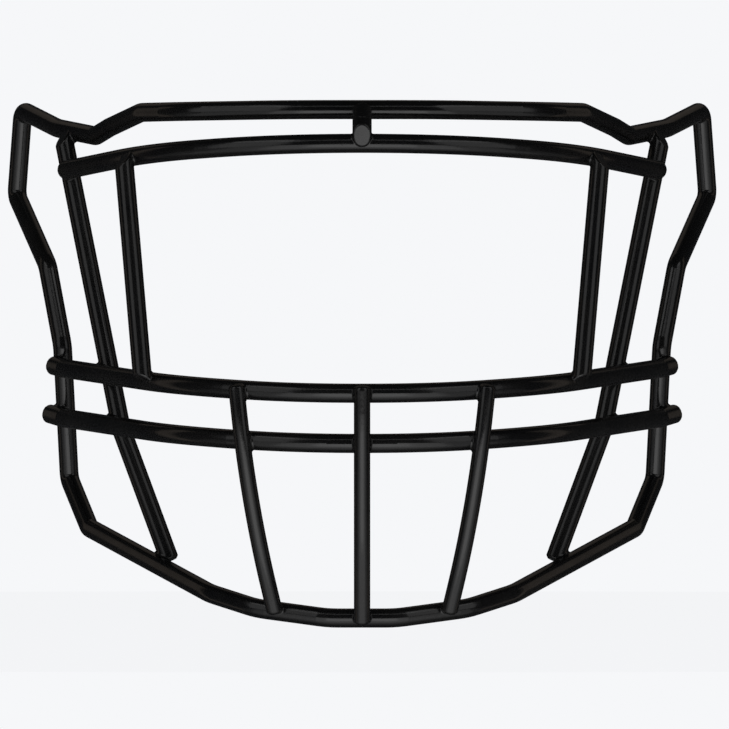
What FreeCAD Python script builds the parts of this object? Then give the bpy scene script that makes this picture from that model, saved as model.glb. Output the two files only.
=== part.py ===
import FreeCAD, Part
import copy
import math
import os

# Face guard of a football helmet: twelve steel wires, bent, lapped over each other, welded and
# dipped in a black polymer skin. Millimetres. +X is the guard's right as a viewer facing it sees
# it, -Y is its front, +Z is up. Routes are drawn with y = 0 on the axis of the upper mid bar at
# the middle and z = 0 under the chin; main() then moves the whole guard onto its origin, which is
# the bottom centre of its bounding box.

# ---- wire stock ----
HEAVY_STEEL_D = 5.7
HEAVY_SKIN = 0.65
LIGHT_STEEL_D = 4.76
LIGHT_SKIN = 0.59
WELD_SET = 0.6  # how far two crossing steel wires are pressed into each other

# ---- overall shape ----
TOP_Z = 188.25  # axis of the forehead stretch
TOP_Y = 34.4
BROW_Z = 175.85
BROW_Y = 24.0
UPPER_MID_Z = 85.15
LOWER_MID_Z = 66.99
LOWER_MID_Y = 1.6
CHIN_Z = 3.5
CHIN_Y = 22.9
POST_SHORT = 3.5  # how far the brow post stops short of the forehead stretch's axis
POST_PAST = 1.2  # how far it runs past the brow bar's axis

# ---- bends, on the wire's axis ----
TIGHT_BEND_R = 4.2
EASY_BEND_R = 7.5
CHIN_BEND_R = 20.0

# ---- wire ends ----
END_ROUND = 0.7
BROW_END_ROUND = 2.2
CHIN_END_ROUND = 1.6
LEAST_STEEL_ROUND = 0.3  # smaller rounds under the skin are left sharp
END_REACH = 6.0  # how far a wire is drawn out before its end is cropped
CROP_SIZE = 16.0

HEAVY_LAP = HEAVY_STEEL_D - WELD_SET
LIGHT_LAP = (HEAVY_STEEL_D + LIGHT_STEEL_D) / 2 - WELD_SET

Vector = FreeCAD.Vector


class Wire:
    """One bent wire: its route's points with a bend radius at each, its stock, and its ends."""

    def __init__(self, points, closed=False, light=False, facings=(None, None), end_round=END_ROUND):
        self.points = [Vector(x, y, z) for x, y, z, _ in points]
        self.radii = [r for _, _, _, r in points]
        self.closed = closed
        self.steel_r = (LIGHT_STEEL_D if light else HEAVY_STEEL_D) / 2
        self.skin = LIGHT_SKIN if light else HEAVY_SKIN
        self.facings = facings  # which way each cropped end faces; None is square to the wire
        self.end_round = end_round

    def ends(self):
        """Each open end's place and the direction that its face looks in."""
        if self.closed:
            return []
        inner = (self.points[1], self.points[-2])
        tips = (self.points[0], self.points[-1])
        return [
            (tip, Vector(*facing).normalize() if facing else (tip - near).normalize())
            for tip, near, facing in zip(tips, inner, self.facings)
        ]

    def mirrored(self):
        """The same wire on the other side of the guard's plane of symmetry."""
        twin = copy.copy(self)
        twin.points = [Vector(-p.x, p.y, p.z) for p in self.points]
        twin.facings = [f and (-f[0], f[1], f[2]) for f in self.facings]
        return twin


# ---- routes ----


def mirror(points):
    """The same points on the other side of the guard's plane of symmetry."""
    return [(-x, y, z, r) for x, y, z, r in points]


def bar(right_half, **options):
    """A bar across the guard, from the points of its right half, middle first."""
    return Wire(mirror(right_half[::-1]) + right_half, **options)


def perimeter_wire():
    """The closed outline: forehead, jog, ear corner, side, jaw and chin."""
    right_half = [
        (26.8, TOP_Y, TOP_Z, 60.0),
        (65.7, 54.0, 187.9, 50.0),
        (80.8, 71.0, 187.8, EASY_BEND_R),
        (92.7, 90.0, 182.6, EASY_BEND_R),
        (97.9, 98.5, 179.6, TIGHT_BEND_R),
        (112.4, 125.4, 182.8, 40.0),
        (125.9, 155.0, 189.8, TIGHT_BEND_R),
        (128.4, 164.5, 158.4, TIGHT_BEND_R),
        (116.2, 127.0, 132.2, EASY_BEND_R),
        (110.5, 116.7, 102.5, EASY_BEND_R),
        (108.2, 129.2, 53.4, TIGHT_BEND_R),
        (100.4, 107.5, 35.4, TIGHT_BEND_R),
        (55.3, 46.2, 12.1, CHIN_BEND_R),
        (38.4, 31.8, 6.9, CHIN_BEND_R),
        (12.2, CHIN_Y, CHIN_Z, CHIN_BEND_R),
    ]
    return Wire(right_half + mirror(right_half[::-1]), closed=True)


def brow_bar():
    """The bar over the eyes; its ends run past the outer verticals."""
    return bar(
        [
            (29.7, BROW_Y, BROW_Z, 100.0),
            (77.7, 54.5, 172.8, 100.0),
            (110.0, 103.8, 166.9, 0.0),
        ],
        end_round=BROW_END_ROUND,
    )


def upper_mid_bar():
    """The bar under the eyes, with its ends turned out beyond the perimeter wire."""
    return bar(
        [
            (25.1, 0.0, UPPER_MID_Z, 80.0),
            (68.7, 27.4, 88.1, 84.0),
            (109.8, 109.9, 94.1, TIGHT_BEND_R),
            (114.3, 115.6, 95.3, 0.0),
        ]
    )


def lower_mid_bar():
    """The bar at mouth height, with its ends turned out beyond the perimeter wire."""
    return bar(
        [
            (25.1, LOWER_MID_Y, LOWER_MID_Z, 84.0),
            (68.7, 28.4, 70.0, 84.0),
            (110.0, 116.4, 75.8, TIGHT_BEND_R),
            (115.9, 123.6, 77.5, 0.0),
        ]
    )


def brow_post():
    """The short strut lapped over the forehead stretch and the brow bar."""
    top_bar = Vector(0, TOP_Y, TOP_Z)
    brow = Vector(0, BROW_Y, BROW_Z)
    down = (brow - top_bar).normalize()
    over_top_bar = top_bar + Vector(0, down.z, -down.y) * HEAVY_LAP
    over_brow = brow + Vector(0, down.z, -down.y) * HEAVY_LAP
    upper = over_top_bar + down * POST_SHORT
    lower = over_brow + down * POST_PAST
    return Wire(
        [(*upper, 0.0), (*lower, 0.0)],
        facings=(None, (0.0, -0.985, -0.174)),
    )


def eye_vertical():
    """The upright beside the eye, in front of the brow bar and the upper mid bar."""
    return Wire(
        [(87.1, 61.0, 171.1, 0.0), (79.9, 39.5, 90.1, 0.0)],
        facings=((0.66, -0.3, 0.69), (0.39, -0.3, -0.87)),
    )


def outer_vertical():
    """The long upright behind the bars, from the ear stretch down to the jaw."""
    return Wire(
        [
            (110.2, 111.3, 179.9, 0.0),
            (88.2, 81.6, 71.6, EASY_BEND_R),
            (70.4, 73.9, 23.8, 0.0),
        ],
        facings=((0.76, -0.3, 0.61), None),
    )


def centre_chin_vertical():
    """The middle upright over the chin, in front of the mid bars and the chin."""
    return Wire(
        [(0.0, -4.8, 87.9, 0.0), (0.0, -2.0, 44.8, 170.0), (0.0, 18.8, 1.6, 0.0)],
        light=True,
        end_round=CHIN_END_ROUND,
    )


def side_chin_vertical():
    """An upright beside the chin, in front of the mid bars and the chin."""
    return Wire(
        [(45.6, 7.3, 88.2, 0.0), (41.2, 7.6, 46.0, 170.0), (31.6, 24.4, 5.3, 0.0)],
        light=True,
        end_round=CHIN_END_ROUND,
    )


# ---- solids ----


def bend(before, corner, after, radius):
    """Where a bend at corner starts, its middle and where it ends."""
    into = (corner - before).normalize()
    out = (after - corner).normalize()
    half_turn = into.getAngle(out) / 2
    reach = radius * math.tan(half_turn)
    inward = (out - into).normalize()
    centre = corner + inward * (radius / math.cos(half_turn))
    return corner - into * reach, centre - inward * radius, corner + out * reach


def centreline(wire, reach=0.0):
    """The wire's axis: straight runs joined by tangent arcs, with open ends drawn out by reach."""
    points = list(wire.points)
    radii = list(wire.radii)
    if wire.closed:
        seam = (points[0] + points[-1]) * 0.5
        points = [seam] + points + [seam]
        radii = [0.0] + radii + [0.0]
    else:
        points[0] = points[0] + (points[0] - points[1]).normalize() * reach
        points[-1] = points[-1] + (points[-1] - points[-2]).normalize() * reach
    edges = []
    here = points[0]
    for before, corner, after, radius in zip(points, points[1:], points[2:], radii[1:]):
        start, middle, end = bend(before, corner, after, radius)
        if (start - here).dot(corner - before) <= 0:
            raise ValueError(f"the bends on either side of {here} overlap")
        edges.append(Part.LineSegment(here, start).toShape())
        edges.append(Part.Arc(start, middle, end).toShape())
        here = end
    edges.append(Part.LineSegment(here, points[-1]).toShape())
    return Part.Wire(edges)


def cropped(solid, tip, facing):
    """The solid without what lies beyond the plane through tip."""
    block = Part.makeBox(CROP_SIZE, CROP_SIZE, CROP_SIZE, Vector(-CROP_SIZE / 2, -CROP_SIZE / 2, 0))
    block.Placement = FreeCAD.Placement(tip, FreeCAD.Rotation(Vector(0, 0, 1), facing))
    return solid.cut(block)


def rod(wire, radius, inset):
    """A solid rod along the wire's route, with its end faces inset from the wire's own."""
    axis = centreline(wire, END_REACH)
    first = axis.Edges[0]
    start = first.valueAt(first.FirstParameter)
    along = first.tangentAt(first.FirstParameter)
    profile = Part.Wire(Part.Circle(start, along, radius).toShape())
    solid = axis.makePipeShell([profile], True, False)
    for tip, facing in wire.ends():
        solid = cropped(solid, tip - facing * inset, facing)
    return solid.Solids[0]


def with_round_ends(solid, radius):
    """The rod with the rims of its flat ends rounded."""
    flats = [face for face in solid.Faces if isinstance(face.Surface, Part.Plane)]
    rims = [edge for face in flats for edge in face.Edges]
    return solid.makeFillet(radius, rims).Solids[0] if rims else solid


def steel_rod(wire):
    """The bare steel wire."""
    solid = rod(wire, wire.steel_r, wire.skin)
    under_round = wire.end_round - wire.skin
    return with_round_ends(solid, under_round) if under_round > LEAST_STEEL_ROUND else solid


def skinned_rod(wire):
    """The wire out to the outside of its skin."""
    return with_round_ends(rod(wire, wire.steel_r + wire.skin, 0.0), wire.end_round)


def notched(shape, neighbours, name):
    """The shape without the space that its neighbours hold, still one solid."""
    for neighbour in neighbours:
        if shape.BoundBox.intersect(neighbour.BoundBox):
            shape = shape.cut(neighbour)
            if len(shape.Solids) != 1:
                raise ValueError(f"{name} came apart into {len(shape.Solids)} solids")
    return shape.Solids[0]


# ---- the guard ----


def wires():
    """Every wire by name, in the order it is laid up: a later one is notched by an earlier one."""
    pairs = {
        "outer_vertical": outer_vertical(),
        "eye_vertical": eye_vertical(),
        "chin_vertical": side_chin_vertical(),
    }
    laid = {
        "perimeter_wire": perimeter_wire(),
        "lower_mid_bar": lower_mid_bar(),
        "upper_mid_bar": upper_mid_bar(),
        "brow_bar": brow_bar(),
    }
    for name, wire in pairs.items():
        laid[f"{name}_left"] = wire.mirrored()
        laid[f"{name}_right"] = wire
    laid["chin_vertical_centre"] = centre_chin_vertical()
    laid["brow_post"] = brow_post()
    return laid


def guard_nodes():
    """Every wire's steel and every wire's skin, none of them sharing any space."""
    laid = wires()
    steels = {}
    for name, wire in laid.items():
        steels[name] = notched(steel_rod(wire), steels.values(), f"{name}_steel")
    nodes = {f"{name}_steel": steel for name, steel in steels.items()}
    outsides = []
    for name, wire in laid.items():
        outside = skinned_rod(wire)
        nodes[f"{name}_skin"] = notched(outside, outsides + list(steels.values()), f"{name}_skin")
        outsides.append(outside)
    return nodes


def main():
    os.makedirs("parts", exist_ok=True)
    nodes = guard_nodes()
    box = Part.makeCompound(list(nodes.values())).optimalBoundingBox(False, False)
    to_origin = Vector(-box.Center.x, -box.Center.y, -box.ZMin)
    for name, shape in nodes.items():
        shape.translate(to_origin)
        shape.exportStep(f"parts/{name}.step")


if __name__ == "__main__":
    main()
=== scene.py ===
import math

import bmesh
import bpy
import numpy as np
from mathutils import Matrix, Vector, bvhtree, kdtree
from mathutils.geometry import barycentric_transform

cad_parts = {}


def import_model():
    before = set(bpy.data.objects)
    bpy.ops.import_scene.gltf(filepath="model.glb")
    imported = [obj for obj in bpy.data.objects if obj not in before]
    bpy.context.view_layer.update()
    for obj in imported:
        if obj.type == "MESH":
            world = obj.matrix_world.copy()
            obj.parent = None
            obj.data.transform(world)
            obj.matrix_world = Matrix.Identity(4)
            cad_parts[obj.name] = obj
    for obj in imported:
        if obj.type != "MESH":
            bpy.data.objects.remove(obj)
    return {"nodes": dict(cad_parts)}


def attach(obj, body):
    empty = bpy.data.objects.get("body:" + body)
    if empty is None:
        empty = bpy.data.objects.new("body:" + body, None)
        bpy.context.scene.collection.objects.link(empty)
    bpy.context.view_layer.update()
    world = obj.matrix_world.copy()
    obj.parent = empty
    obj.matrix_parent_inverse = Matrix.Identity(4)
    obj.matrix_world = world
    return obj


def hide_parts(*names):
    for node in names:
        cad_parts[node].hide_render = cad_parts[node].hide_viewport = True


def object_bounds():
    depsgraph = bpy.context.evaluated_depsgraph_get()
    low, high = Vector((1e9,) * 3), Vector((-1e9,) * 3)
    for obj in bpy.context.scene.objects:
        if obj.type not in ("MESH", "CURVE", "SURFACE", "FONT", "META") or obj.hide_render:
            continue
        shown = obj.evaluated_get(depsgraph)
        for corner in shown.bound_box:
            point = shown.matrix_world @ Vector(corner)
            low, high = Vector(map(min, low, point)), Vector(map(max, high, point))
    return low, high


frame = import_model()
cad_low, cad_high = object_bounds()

# Looks for the football helmet face guard. The steel wires stay as the frame has them. Over them
# lies the black polymer skin, grown out of the steel itself: swollen, so that it bridges the
# corners where wires cross, then shrunk back to its real thickness, which leaves the soft fillets
# of a dipped weld. Away from those it is laid on the frame's own skin surface. It is then parted
# into one piece for each wire and one for each weld.
# Metres throughout.

# ---- the skin ----
VOXEL = 0.0004
SKIN = 0.00065  # thickness over the steel
BRIDGE = 0.0002  # radius of the fillet that the dip leaves between two wires
SMOOTH_SHRINK = 0.0001  # what the smoothing takes off the skin
SMOOTH_ROUNDS = 12  # of the last smoothing
MERGE_WITHIN = 1e-7  # CAD vertices nearer than this are one
SURVEY_VOXEL = 0.0008  # how finely a steel wire is sampled to tell which wire a face is on
CROSSING_CELL = 0.0016
CROSSING_SPREAD = 0.016  # shared cells nearer than this are one crossing
WELD_REACH = 0.0078  # how far from a crossing's centre its weld piece ends
TRUE_WITHIN = 0.00012  # skin this near the frame's own surface is laid on it
OWN_BEYOND = 0.00025  # skin further from it than this, as in a fillet, stays as it grew
LEAST_AGREEMENT = 0.5  # cosine between the two normals, below which the skin stays as it grew

# ---- camera and studio ----
LENS = 800.0  # millimetres, with a 36 mm sensor: a distant camera, straight in front
SENSOR = 36.0
FRAME_WIDTH = 0.2672  # what the picture takes in at the guard's middle
AIM_X = 0.00088
AIM_Z = 0.09554
PALE = (0.922, 0.93, 0.947)
FLOOR_RADIUS = 0.9
FLOOR_GAP = 0.0002  # how far the floor lies below the guard
FLOOR_GLOW = 0.97  # the share of the floor's brightness that is its own light
LAMP_DISTANCE = 1.2
WARM = (1.0, 0.84, 0.7)
# half-widths in degrees across and up, and brightness, of the boxes low in front; they lie over
# one another with their top edges together, so that the light fades sideways and downwards
LOW_BOXES = ((20, 16, 0.62), (36, 25, 0.42), (56, 34, 0.25), (68, 42, 0.1))
LOW_BOX_TOP = -9
DOME_RADIUS = 9.2

SKIN_SUFFIX = "_skin"
STEEL_SUFFIX = "_steel"


# ---- meshes ----


def new_object(name, mesh):
    """A mesh object in the scene."""
    obj = bpy.data.objects.new(name, mesh)
    bpy.context.scene.collection.objects.link(obj)
    return obj


def final_mesh(obj, name):
    """The object's mesh with its modifiers applied; the object goes."""
    graph = bpy.context.evaluated_depsgraph_get()
    mesh = bpy.data.meshes.new_from_object(obj.evaluated_get(graph), depsgraph=graph)
    mesh.name = name
    bpy.data.objects.remove(obj)
    return mesh


def welded_copy(nodes, name):
    """One mesh of several CAD nodes, with the vertices along CAD edges merged."""
    bm = bmesh.new()
    for node in nodes:
        bm.from_mesh(node.data)
    bmesh.ops.remove_doubles(bm, verts=bm.verts, dist=MERGE_WITHIN)
    mesh = bpy.data.meshes.new(name)
    bm.to_mesh(mesh)
    bm.free()
    return mesh


def remesh(obj, voxel):
    """A voxel remesh on the object's stack."""
    step = obj.modifiers.new("remesh", "REMESH")
    step.mode = "VOXEL"
    step.voxel_size = voxel
    step.use_smooth_shade = True


def smooth(obj, rounds):
    """A smoothing on the object's stack."""
    step = obj.modifiers.new("smooth", "SMOOTH")
    step.factor = 0.5
    step.iterations = rounds


def swell(obj, distance):
    """Moves the surface out by distance, or in where it is negative."""
    step = obj.modifiers.new("swell", "DISPLACE")
    step.mid_level = 0.0
    step.strength = distance


def grown_skin(steels):
    """The polymer skin over all the wires, closed over the corners where they cross."""
    obj = new_object("skin", welded_copy(steels, "skin"))
    half = (SKIN + BRIDGE) / 2
    for distance in (half, half, SMOOTH_SHRINK - BRIDGE):
        remesh(obj, VOXEL)
        smooth(obj, 1)
        swell(obj, distance)
    remesh(obj, VOXEL)
    smooth(obj, SMOOTH_ROUNDS)
    return final_mesh(obj, "skin")


# ---- which face is on which wire ----


def survey(name, node):
    """Points spread evenly over a steel wire."""
    obj = new_object("survey", welded_copy([node], "survey"))
    remesh(obj, SURVEY_VOXEL)
    mesh = final_mesh(obj, "survey")
    points = np.empty(len(mesh.vertices) * 3)
    mesh.vertices.foreach_get("co", points)
    bpy.data.meshes.remove(mesh)
    return points.reshape(-1, 3)


def cells(points):
    """The grid cells that the points lie in."""
    return {tuple(cell) for cell in np.floor(points / CROSSING_CELL).astype(int)}


def crossings(surveys):
    """The name and centre of every place where two wires touch."""
    found = {}
    names = list(surveys)
    grids = {name: cells(points) for name, points in surveys.items()}
    for i, first in enumerate(names):
        for second in names[i + 1 :]:
            groups = []
            for cell in sorted(grids[first] & grids[second]):
                place = (np.array(cell) + 0.5) * CROSSING_CELL
                near = [g for g in groups if np.linalg.norm(g[0] - place) < CROSSING_SPREAD]
                if near:
                    near[0].append(place)
                else:
                    groups.append([place])
            for k, group in enumerate(groups):
                found[f"weld_{first}_{second}_{k + 1}"] = np.mean(group, axis=0)
    return found


def quads_of(mesh):
    """The mesh's quads as rows of vertex numbers."""
    corners = np.empty(len(mesh.loops), dtype=np.int32)
    mesh.loops.foreach_get("vertex_index", corners)
    return corners.reshape(-1, 4)


def owners(middles, surveys, centres):
    """The name of the piece that each face belongs to, from the faces' middles."""
    tree = kdtree.KDTree(sum(len(points) for points in surveys.values()))
    wire_of_point = []
    for name, points in surveys.items():
        for point in points:
            tree.insert(point, len(wire_of_point))
            wire_of_point.append(name)
    tree.balance()
    weld_names = list(centres)
    nearest = np.full(len(middles), -1)
    reach = np.full(len(middles), WELD_REACH)
    for number, name in enumerate(weld_names):
        away = np.linalg.norm(middles - centres[name], axis=1)
        nearer = away < reach
        nearest[nearer] = number
        reach[nearer] = away[nearer]
    return np.array(
        [
            weld_names[weld] if weld >= 0 else wire_of_point[tree.find(middle)[1]]
            for weld, middle in zip(nearest, middles)
        ]
    )


class TrueSurface:
    """The frame's own skin surface, which takes the voxel grid's grain off the grown skin."""

    def __init__(self, nodes):
        self.corners, self.normals = [], []
        for node in nodes:
            node.data.calc_loop_triangles()
            for triangle in node.data.loop_triangles:
                self.corners.append([node.data.vertices[v].co.copy() for v in triangle.vertices])
                self.normals.append([Vector(normal) for normal in triangle.split_normals])
        places = [place for triangle in self.corners for place in triangle]
        faces = [(k, k + 1, k + 2) for k in range(0, len(places), 3)]
        self.tree = bvhtree.BVHTree.FromPolygons(places, faces, all_triangles=True)

    def laid(self, place, own_normal):
        """Where a place on the grown skin goes, and its normal there."""
        near, _, face, away = self.tree.find_nearest(place)
        normal = barycentric_transform(near, *self.corners[face], *self.normals[face])
        keep = min(max((away - TRUE_WITHIN) / (OWN_BEYOND - TRUE_WITHIN), 0.0), 1.0)
        if normal.dot(own_normal) < LEAST_AGREEMENT:
            keep = 1.0
        return near.lerp(place, keep), normal.lerp(own_normal, keep).normalized()


def capped(mesh):
    """Closes the mesh where it was cut from its neighbours, with a sharp rim."""
    bm = bmesh.new()
    bm.from_mesh(mesh)
    rim = [edge for edge in bm.edges if edge.is_boundary]
    for edge in rim:
        edge.smooth = False
    caps = bmesh.ops.holes_fill(bm, edges=rim, sides=0)["faces"]
    bmesh.ops.triangulate(bm, faces=caps)
    for face in bm.faces:
        face.smooth = True
    bm.to_mesh(mesh)
    bm.free()


def parted(skin, surveys, centres, surface):
    """Closed pieces of the skin by name, one for each wire and one for each weld."""
    laid = [surface.laid(vertex.co, vertex.normal) for vertex in skin.vertices]
    places = np.array([place for place, _ in laid])
    quads = quads_of(skin)
    owner = owners(places[quads].mean(axis=1), surveys, centres)
    pieces = {}
    for name in sorted(set(owner)):
        used, corners = np.unique(quads[owner == name], return_inverse=True)
        mesh = bpy.data.meshes.new(name)
        mesh.from_pydata(places[used].tolist(), [], corners.reshape(-1, 4).tolist())
        capped(mesh)
        mesh.normals_split_custom_set(
            [
                face.normal if len(face.vertices) == 3 else laid[used[corner]][1]
                for face in mesh.polygons
                for corner in face.vertices
            ]
        )
        pieces[name] = new_object(name, mesh)
    return pieces


# ---- materials ----


def blank_material(name):
    """A material with its shader, its node tree and a coordinate source."""
    material = bpy.data.materials.new(name)
    material.use_nodes = True
    tree = material.node_tree
    shader = tree.nodes["Principled BSDF"]
    place = tree.nodes.new("ShaderNodeTexCoord").outputs["Object"]
    return material, tree, shader, place


def noise(tree, place, scale, detail=2.0, roughness=0.5):
    """A noise pattern of so many cells to the metre."""
    node = tree.nodes.new("ShaderNodeTexNoise")
    node.inputs["Scale"].default_value = scale
    node.inputs["Detail"].default_value = detail
    node.inputs["Roughness"].default_value = roughness
    tree.links.new(place, node.inputs["Vector"])
    return node.outputs["Fac"]


def ranged(tree, value, low, high, start=0.3, end=0.7):
    """The value stretched from start..end to low..high."""
    node = tree.nodes.new("ShaderNodeMapRange")
    node.inputs["From Min"].default_value = start
    node.inputs["From Max"].default_value = end
    node.inputs["To Min"].default_value = low
    node.inputs["To Max"].default_value = high
    tree.links.new(value, node.inputs["Value"])
    return node.outputs["Result"]


def ramp(tree, value, low, high):
    """A colour between two, by the value."""
    node = tree.nodes.new("ShaderNodeValToRGB")
    node.color_ramp.elements[0].color = (*low, 1.0)
    node.color_ramp.elements[0].position = 0.35
    node.color_ramp.elements[1].color = (*high, 1.0)
    node.color_ramp.elements[1].position = 0.7
    tree.links.new(value, node.inputs["Fac"])
    return node.outputs["Color"]


def bump(tree, height, strength, distance, under=None):
    """A bump from the height, on top of the one under it."""
    node = tree.nodes.new("ShaderNodeBump")
    node.inputs["Strength"].default_value = strength
    node.inputs["Distance"].default_value = distance
    tree.links.new(height, node.inputs["Height"])
    if under is not None:
        tree.links.new(under, node.inputs["Normal"])
    return node.outputs["Normal"]


def black_polymer():
    """Fluid-bed nylon: nearly black, glossy, with a faint orange peel and handling marks."""
    material, tree, shader, place = blank_material("black_polymer_skin")
    broad = noise(tree, place, 45.0)
    peel = noise(tree, place, 620.0, detail=1.0)
    fine = noise(tree, place, 3800.0, detail=2.0)
    colour = ramp(tree, broad, (0.0042, 0.0042, 0.0046), (0.0075, 0.0072, 0.0070))
    gloss = ranged(tree, noise(tree, place, 140.0, detail=4.0), 0.13, 0.21)
    tree.links.new(colour, shader.inputs["Base Color"])
    tree.links.new(gloss, shader.inputs["Roughness"])
    low = bump(tree, peel, 0.07, 0.0002)
    tree.links.new(bump(tree, fine, 0.03, 0.00004, low), shader.inputs["Normal"])
    shader.inputs["IOR"].default_value = 1.56
    return material


def drawn_steel():
    """Bare drawn wire, with draw marks and a trace of mill scale."""
    material, tree, shader, place = blank_material("drawn_steel_wire")
    shade = noise(tree, place, 260.0, detail=5.0)
    marks = noise(tree, place, 5200.0, detail=3.0)
    colour = ramp(tree, shade, (0.30, 0.30, 0.31), (0.52, 0.52, 0.53))
    tree.links.new(colour, shader.inputs["Base Color"])
    tree.links.new(ranged(tree, shade, 0.28, 0.5), shader.inputs["Roughness"])
    tree.links.new(bump(tree, marks, 0.25, 0.00004), shader.inputs["Normal"])
    shader.inputs["Metallic"].default_value = 1.0
    return material


def glowing_pale(name, share):
    """A pale surface of which a share is its own light, so that it stays even."""
    material = bpy.data.materials.new(name)
    material.use_nodes = True
    shader = material.node_tree.nodes["Principled BSDF"]
    shader.inputs["Base Color"].default_value = (*[c * (1 - share) for c in PALE], 1.0)
    shader.inputs["Roughness"].default_value = 0.9
    shader.inputs["Specular IOR Level"].default_value = 0.0
    shader.inputs["Emission Color"].default_value = (*PALE, 1.0)
    shader.inputs["Emission Strength"].default_value = share
    return material


# ---- studio ----


def floor():
    """A round pale floor that the guard stands on."""
    bm = bmesh.new()
    bmesh.ops.create_circle(bm, cap_ends=True, segments=128, radius=FLOOR_RADIUS)
    mesh = bpy.data.meshes.new("floor")
    bm.to_mesh(mesh)
    bm.free()
    obj = new_object("floor", mesh)
    obj.location = (0, 0, cad_low.z - FLOOR_GAP)
    obj.visible_glossy = False
    obj.visible_shadow = False
    mesh.materials.append(glowing_pale("floor_pale", FLOOR_GLOW))


def dome():
    """A pale backdrop all round, which lights nothing and shows in no gloss."""
    bm = bmesh.new()
    bmesh.ops.create_uvsphere(bm, u_segments=64, v_segments=32, radius=DOME_RADIUS)
    mesh = bpy.data.meshes.new("backdrop")
    bm.to_mesh(mesh)
    bm.free()
    obj = new_object("backdrop", mesh)
    mesh.materials.append(glowing_pale("backdrop_pale", 1.0))
    obj.visible_glossy = False
    obj.visible_diffuse = False
    obj.visible_shadow = False
    obj.visible_transmission = False


def softbox(name, azimuth, elevation, across, up, brightness, colour=(1.0, 1.0, 1.0)):
    """A rectangular light facing the guard, placed by angles from straight in front of it.

    Its half-widths across and up are in degrees as well, and its brightness is against the
    backdrop's.
    """
    width, height = (2 * LAMP_DISTANCE * math.tan(math.radians(half)) for half in (across, up))
    lamp = bpy.data.lights.new(name, "AREA")
    lamp.shape = "RECTANGLE"
    lamp.size, lamp.size_y = width, height
    lamp.energy = brightness * math.pi * width * height
    lamp.color = colour
    turn, rise = math.radians(azimuth), math.radians(elevation)
    out = Vector((math.sin(turn) * math.cos(rise), -math.cos(turn) * math.cos(rise), math.sin(rise)))
    obj = bpy.data.objects.new(name, lamp)
    obj.location = Vector((0.0, 0.0, AIM_Z)) + out * LAMP_DISTANCE
    obj.rotation_euler = out.to_track_quat("Z", "Y").to_euler()
    obj.visible_camera = False
    bpy.context.scene.collection.objects.link(obj)


def lights():
    """A fading box low in front, boxes at the sides and behind, and a thin strip above."""
    for number, (across, up, brightness) in enumerate(LOW_BOXES):
        softbox(f"softbox_low_{number}", 0, LOW_BOX_TOP - up, across, up, brightness)
    for name, side in (("left", -1), ("right", 1)):
        softbox(f"softbox_side_{name}", side * 48, 18, 16, 22, 0.5)
        softbox(f"softbox_high_{name}", side * 50, 46, 12, 5, 0.9)
        softbox(f"softbox_rear_{name}", side * 101, 0, 6, 40, 0.24, WARM)
    softbox("strip_high_front", 0, 42, 30, 2, 0.85)
    softbox("softbox_back", 180, 46, 36, 12, 0.13, WARM)


def world():
    """A dark room, so that the black gloss shows only the boxes of light."""
    bpy.context.scene.world = bpy.data.worlds.new("room")
    bpy.context.scene.world.use_nodes = True
    back = bpy.context.scene.world.node_tree.nodes["Background"]
    back.inputs["Color"].default_value = (0.9, 0.95, 1.0, 1.0)
    back.inputs["Strength"].default_value = 0.02


def camera():
    """A distant camera straight in front of the guard."""
    data = bpy.data.cameras.new("camera")
    data.lens = LENS
    data.sensor_width = SENSOR
    distance = FRAME_WIDTH * LENS / SENSOR
    middle_y = (cad_low.y + cad_high.y) / 2
    obj = bpy.data.objects.new("camera", data)
    obj.location = (AIM_X, middle_y - distance, AIM_Z)
    obj.rotation_euler = (math.pi / 2, 0, 0)
    data.clip_end = distance + 2 * DOME_RADIUS
    bpy.context.scene.collection.objects.link(obj)
    bpy.context.scene.camera = obj
    bpy.context.scene.view_settings.view_transform = "Standard"


# ---- the guard ----


def dress():
    """Puts the skin over the steel wires and gives everything its material."""
    wires = sorted(n[: -len(STEEL_SUFFIX)] for n in frame["nodes"] if n.endswith(STEEL_SUFFIX))
    steels = {name: frame["nodes"][name + STEEL_SUFFIX] for name in wires}
    steel = drawn_steel()
    for node in steels.values():
        node.data.materials.clear()
        node.data.materials.append(steel)
    surveys = {name: survey(name, node) for name, node in steels.items()}
    centres = crossings(surveys)
    skin = grown_skin(list(steels.values()))
    polymer = black_polymer()
    skins = [frame["nodes"][name + SKIN_SUFFIX] for name in wires]
    for name, piece in parted(skin, surveys, centres, TrueSurface(skins)).items():
        piece.data.materials.append(polymer)
        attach(piece, "root")
        if name in steels:
            piece.name = f"{name}_coat"
            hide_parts(name + SKIN_SUFFIX)


world()
floor()
dome()
lights()
camera()
dress()
